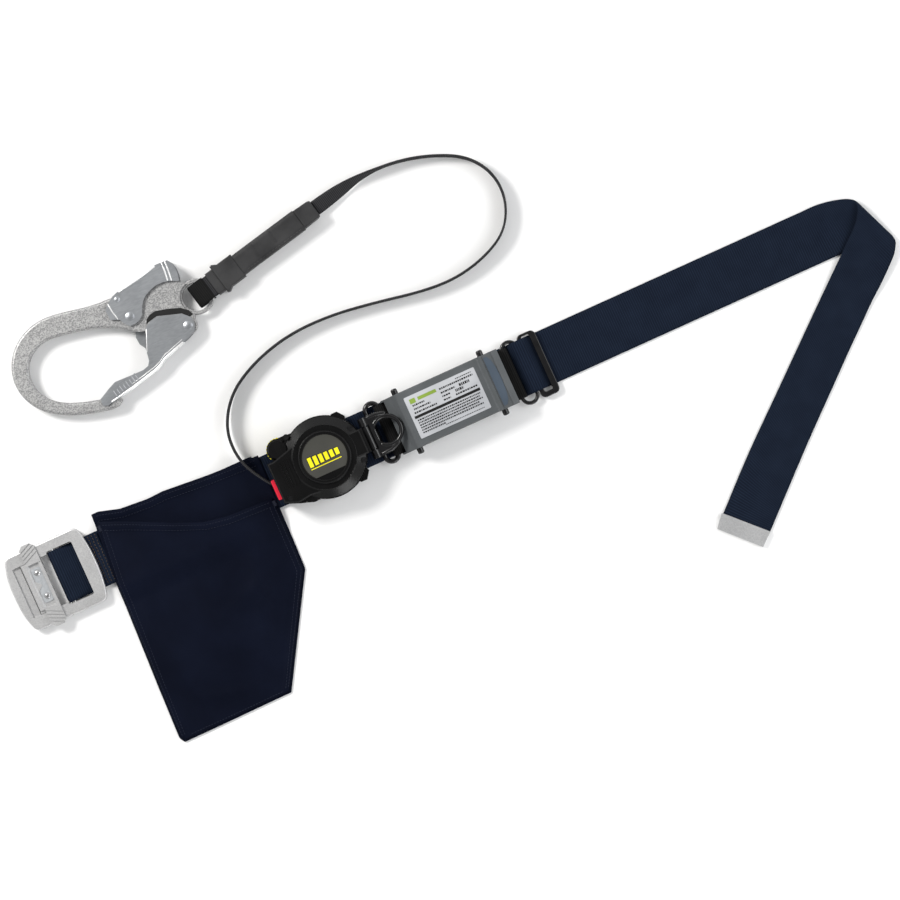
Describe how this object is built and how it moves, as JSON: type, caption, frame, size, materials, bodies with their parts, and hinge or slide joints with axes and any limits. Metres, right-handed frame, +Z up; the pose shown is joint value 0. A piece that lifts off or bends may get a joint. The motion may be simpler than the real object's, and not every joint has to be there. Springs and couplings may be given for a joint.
{
  "type": "self retracting lifeline",
  "caption": "Body belt with a sliding buckle and a pouch, a retracting strap reel with lock wheel, shock absorber, adjuster and a locking scaffold hook on a webbing lanyard.",
  "frame": {"origin": "on the surface that the set lies on, under the reel's axis, in the back face of the reel's belt plate", "axes": "+X along the belt from the buckle to the adjuster, +Z up out of the surface, +Y towards the lanyard and hook"},
  "size_m": [0.8644, 0.4609, 0.0388],
  "materials": {
    "navy_webbing": "woven polyester webbing",
    "pouch_cloth": "coated nylon cloth",
    "strap_webbing": "woven charcoal webbing",
    "black_webbing": "woven black webbing",
    "black_plastic": "moulded, fine texture",
    "absorber_grey": "moulded, satin",
    "black_steel": "black paint",
    "buckle_aluminium": "satin",
    "blue_grey_plate": "satin",
    "zinc_steel": "zinc plated",
    "galvanised_steel": "galvanised, fine spangle",
    "satin_steel": "satin",
    "spring_steel": "bright",
    "red_plastic": "gloss",
    "yellow_plastic": "gloss",
    "label_grey": "printed film",
    "label_silver": "printed film",
    "grip_grey": "matte"
  },
  "bodies": {
    "belt_set": {"waist_belt": "navy_webbing", "belt_buckle_loop": "navy_webbing", "belt_outer_run": "navy_webbing", "belt_tail": "navy_webbing", "belt_tip_ferrule": "buckle_aluminium", "buckle_frame": "buckle_aluminium", "buckle_cross_bar": "zinc_steel", "pouch_belt_sleeve": "pouch_cloth", "pouch_back": "pouch_cloth", "pouch_front": "pouch_cloth", "reel_belt_plate": "black_plastic", "reel_rear_housing": "black_plastic", "reel_front_housing": "black_plastic", "housing_screws": "black_steel", "reel_bezel": "black_plastic", "reel_label_disc": "label_grey", "mouth_guide": "red_plastic", "strap_lead": "strap_webbing", "reel_frame_plate": "black_steel", "drum_shaft": "black_steel", "spring_case": "spring_steel", "power_spring": "spring_steel", "pawl_pin": "black_steel", "pawl_spring": "spring_steel", "absorber_base": "absorber_grey", "absorber_cover": "absorber_grey", "absorber_pins": "black_steel", "absorber_label": "label_silver", "tear_webbing": "black_webbing", "webbing_loop_left": "black_webbing", "webbing_loop_right": "black_webbing", "oval_ring_right": "black_steel", "belt_slider": "black_steel", "strap": "strap_webbing", "strap_end_loop": "strap_webbing", "loop_protector": "black_webbing", "loop_keeper": "grip_grey", "grip_front_collar": "grip_grey", "grip_sleeve": "grip_grey", "grip_rear_collar": "grip_grey"},
    "buckle_slider": {"buckle_slide": "buckle_aluminium", "buckle_grip_plate": "blue_grey_plate", "buckle_rivets": "spring_steel"},
    "drum_unit": {"drum": "black_plastic", "ratchet_wheel": "zinc_steel", "wound_strap": "strap_webbing"},
    "pawl": {"lock_pawl": "zinc_steel"},
    "selector": {"thumb_wheel": "yellow_plastic", "selector_shaft": "zinc_steel"},
    "swing_link": {"link": "black_steel", "link_pin": "black_steel"},
    "left_ring": {"oval_ring_left": "black_steel"},
    "hook": {"hook_body": "galvanised_steel", "gate_rivet": "satin_steel", "gate_spring": "spring_steel", "lever_rivet": "satin_steel", "lever_spring": "spring_steel"},
    "hook_gate": {"gate": "satin_steel"},
    "hook_lever": {"safety_lever": "satin_steel", "lever_stop_pin": "satin_steel"}
  },
  "joints": [
    {"name": "buckle_slide_travel", "type": "slide", "parent": "belt_set", "child": "buckle_slider", "axis": [1, 0, 0], "range_m": [0, 0.0055]},
    {"name": "drum_spin", "type": "hinge", "parent": "belt_set", "child": "drum_unit", "pos_m": [0, 0, 0], "axis": [0, 0, 1], "continuous": true},
    {"name": "selector_turn", "type": "hinge", "parent": "belt_set", "child": "selector", "pos_m": [-0.0363, 0.0236, 0], "axis": [0, 0, 1], "range_deg": [0, 60]},
    {"name": "pawl_swing", "type": "hinge", "parent": "belt_set", "child": "pawl", "pos_m": [-0.039, 0.006, 0], "axis": [0, 0, 1], "range_deg": [-14, 0]},
    {"name": "link_swing", "type": "hinge", "parent": "belt_set", "child": "swing_link", "pos_m": [0.0435, 0, 0.022], "axis": [0, -1, 0], "range_deg": [0, 80]},
    {"name": "left_ring_tilt", "type": "hinge", "parent": "belt_set", "child": "left_ring", "pos_m": [0.04925, 0, 0.0065], "axis": [0, -1, 0], "range_deg": [0, 6]},
    {"name": "hook_swing", "type": "hinge", "parent": "belt_set", "child": "hook", "pos_m": [-0.0469, 0.1811, 0.0092], "axis": [0, 0, 1], "range_deg": [-25, 25]},
    {"name": "gate_open", "type": "hinge", "parent": "hook", "child": "hook_gate", "pos_m": [-0.0644, 0.1601, 0.0092], "axis": [0, 0, 1], "range_deg": [-38, 0], "stiffness_Nm_per_rad": 0.1, "springref_deg": 28.65},
    {"name": "lever_squeeze", "type": "hinge", "parent": "hook", "child": "hook_lever", "pos_m": [-0.1089, 0.1891, 0.0092], "axis": [0, 0, 1], "range_deg": [-8, 0], "stiffness_Nm_per_rad": 0.2, "springref_deg": 17.19}
  ],
  "couplings": [
    {"joint": "pawl_swing", "follows": "selector_turn", "ratio": -0.23333}
  ]
}
